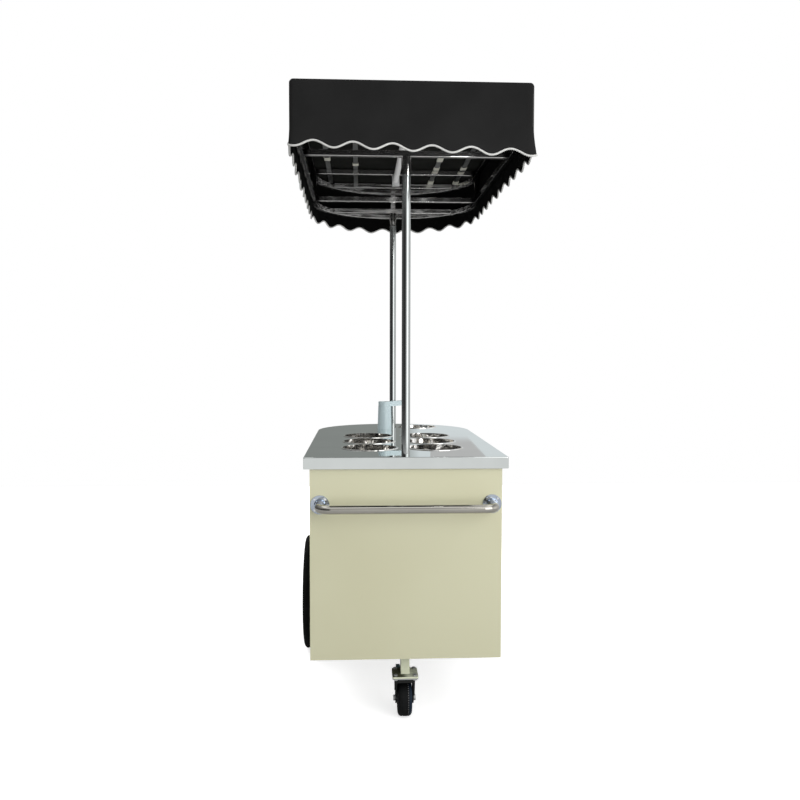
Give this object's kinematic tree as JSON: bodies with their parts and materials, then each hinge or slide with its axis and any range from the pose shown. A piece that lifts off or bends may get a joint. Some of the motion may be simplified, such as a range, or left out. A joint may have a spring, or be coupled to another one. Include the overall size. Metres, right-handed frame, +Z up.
{
  "type": "gelato cart",
  "caption": "Three-wheeled push cart with a half-round nose, round pots in an insulated steel worktop, sink and tap, and a scalloped black canopy on centre poles.",
  "frame": {"origin": "on the ground, under the middle of the whole cart's bounding box", "axes": "+X to the pusher's right, +Y from the push bar towards the half-round nose, +Z up"},
  "size_m": [0.748, 1.5729, 1.98],
  "materials": {
    "cream_paint": "satin",
    "polished_sheet": "polished",
    "polished_tube": "polished",
    "satin_steel": "satin",
    "zinc": "satin",
    "bright_chrome": "polished",
    "dark_steel": "satin",
    "cast_alloy": "satin",
    "black_tyre": "matte",
    "black_cloth": "matte",
    "white_plastic": "gloss",
    "lamp_white": "satin",
    "teal_plastic": "satin",
    "clear_can": "satin",
    "grey_plastic": "satin",
    "blue_plastic": "satin",
    "foam": "matte",
    "wheel_core": "satin"
  },
  "bodies": {
    "cart": {"base_frame": "cream_paint", "body_frame": "cream_paint", "floor_pan": "satin_steel", "rear_panel": "cream_paint", "side_panel_left": "cream_paint", "side_panel_right": "cream_paint", "front_panel": "cream_paint", "counter_top": "polished_sheet", "cold_well": "satin_steel", "well_insulation": "foam", "cold_plates": "blue_plastic", "sink_basin": "polished_sheet", "sink_drain": "bright_chrome", "tap_body": "white_plastic", "water_bottles": "clear_can", "water_pump": "grey_plastic", "battery": "grey_plastic", "rear_pole": "polished_tube", "front_pole": "polished_tube", "pole_sockets": "satin_steel", "pole_sleeves": "polished_tube", "handle_bar": "bright_chrome", "handle_flanges": "bright_chrome", "handle_screws": "zinc", "axle_bar": "zinc", "axle_clamps": "satin_steel", "axle_nuts": "zinc", "caster_post": "cream_paint", "caster_plate": "zinc", "caster_bolts": "zinc", "kingpin": "zinc", "canopy_lower_rail": "polished_tube", "canopy_upper_rail": "polished_tube", "canopy_posts": "polished_tube", "canopy_crossbars": "polished_tube", "roof_bars": "polished_tube", "led_tube": "lamp_white", "led_holders": "white_plastic", "canopy_fabric": "black_cloth", "door_hinges": "satin_steel"},
    "wheel_left": {"tyre_left": "black_tyre", "wheel_left": "cast_alloy", "wheel_bearings_left": "zinc"},
    "wheel_right": {"tyre_right": "black_tyre", "wheel_right": "cast_alloy", "wheel_bearings_right": "zinc"},
    "caster_swivel": {"caster_fork": "dark_steel", "caster_axle": "zinc"},
    "caster_wheel": {"caster_tyre": "black_tyre", "caster_hub": "wheel_core"},
    "brake_pedal": {"brake_pedal": "teal_plastic"},
    "tap_spout": {"tap_spout": "white_plastic"},
    "service_door": {"service_door": "cream_paint", "door_knob": "bright_chrome"},
    "pot_1": {"pot_1": "polished_sheet"},
    "pot_2": {"pot_2": "polished_sheet"},
    "pot_3": {"pot_3": "polished_sheet"},
    "pot_4": {"pot_4": "polished_sheet"},
    "pot_5": {"pot_5": "polished_sheet"},
    "pot_6": {"pot_6": "polished_sheet"}
  },
  "joints": [
    {"name": "left_wheel_spin", "type": "hinge", "parent": "cart", "child": "wheel_left", "pos_m": [-0.345, 0.2655, 0.229], "axis": [1, 0, 0], "continuous": true},
    {"name": "right_wheel_spin", "type": "hinge", "parent": "cart", "child": "wheel_right", "pos_m": [0.345, 0.2655, 0.229], "axis": [1, 0, 0], "continuous": true},
    {"name": "caster_swivel", "type": "hinge", "parent": "cart", "child": "caster_swivel", "pos_m": [0, -0.4565, 0.138], "axis": [0, 0, 1], "continuous": true},
    {"name": "caster_wheel_spin", "type": "hinge", "parent": "caster_swivel", "child": "caster_wheel", "pos_m": [0, -0.4315, 0.059], "axis": [1, 0, 0], "continuous": true},
    {"name": "brake_press", "type": "hinge", "parent": "caster_swivel", "child": "brake_pedal", "pos_m": [0, -0.4105, 0.124], "axis": [1, 0, 0], "range_deg": [-14, 0]},
    {"name": "pot_1_lift", "type": "slide", "parent": "cart", "child": "pot_1", "axis": [0, 0, 1], "range_m": [0, 0.27]},
    {"name": "pot_2_lift", "type": "slide", "parent": "cart", "child": "pot_2", "axis": [0, 0, 1], "range_m": [0, 0.27]},
    {"name": "pot_3_lift", "type": "slide", "parent": "cart", "child": "pot_3", "axis": [0, 0, 1], "range_m": [0, 0.27]},
    {"name": "pot_4_lift", "type": "slide", "parent": "cart", "child": "pot_4", "axis": [0, 0, 1], "range_m": [0, 0.27]},
    {"name": "pot_5_lift", "type": "slide", "parent": "cart", "child": "pot_5", "axis": [0, 0, 1], "range_m": [0, 0.27]},
    {"name": "pot_6_lift", "type": "slide", "parent": "cart", "child": "pot_6", "axis": [0, 0, 1], "range_m": [0, 0.27]},
    {"name": "spout_swivel", "type": "hinge", "parent": "cart", "child": "tap_spout", "pos_m": [-0.038, 0.5205, 0.984], "axis": [0, 0, 1], "range_deg": [-90, 8]},
    {"name": "door_swing", "type": "hinge", "parent": "cart", "child": "service_door", "pos_m": [0.3155, -0.45525, 0.424], "axis": [0, 0, -1], "range_deg": [0, 110]}
  ]
}
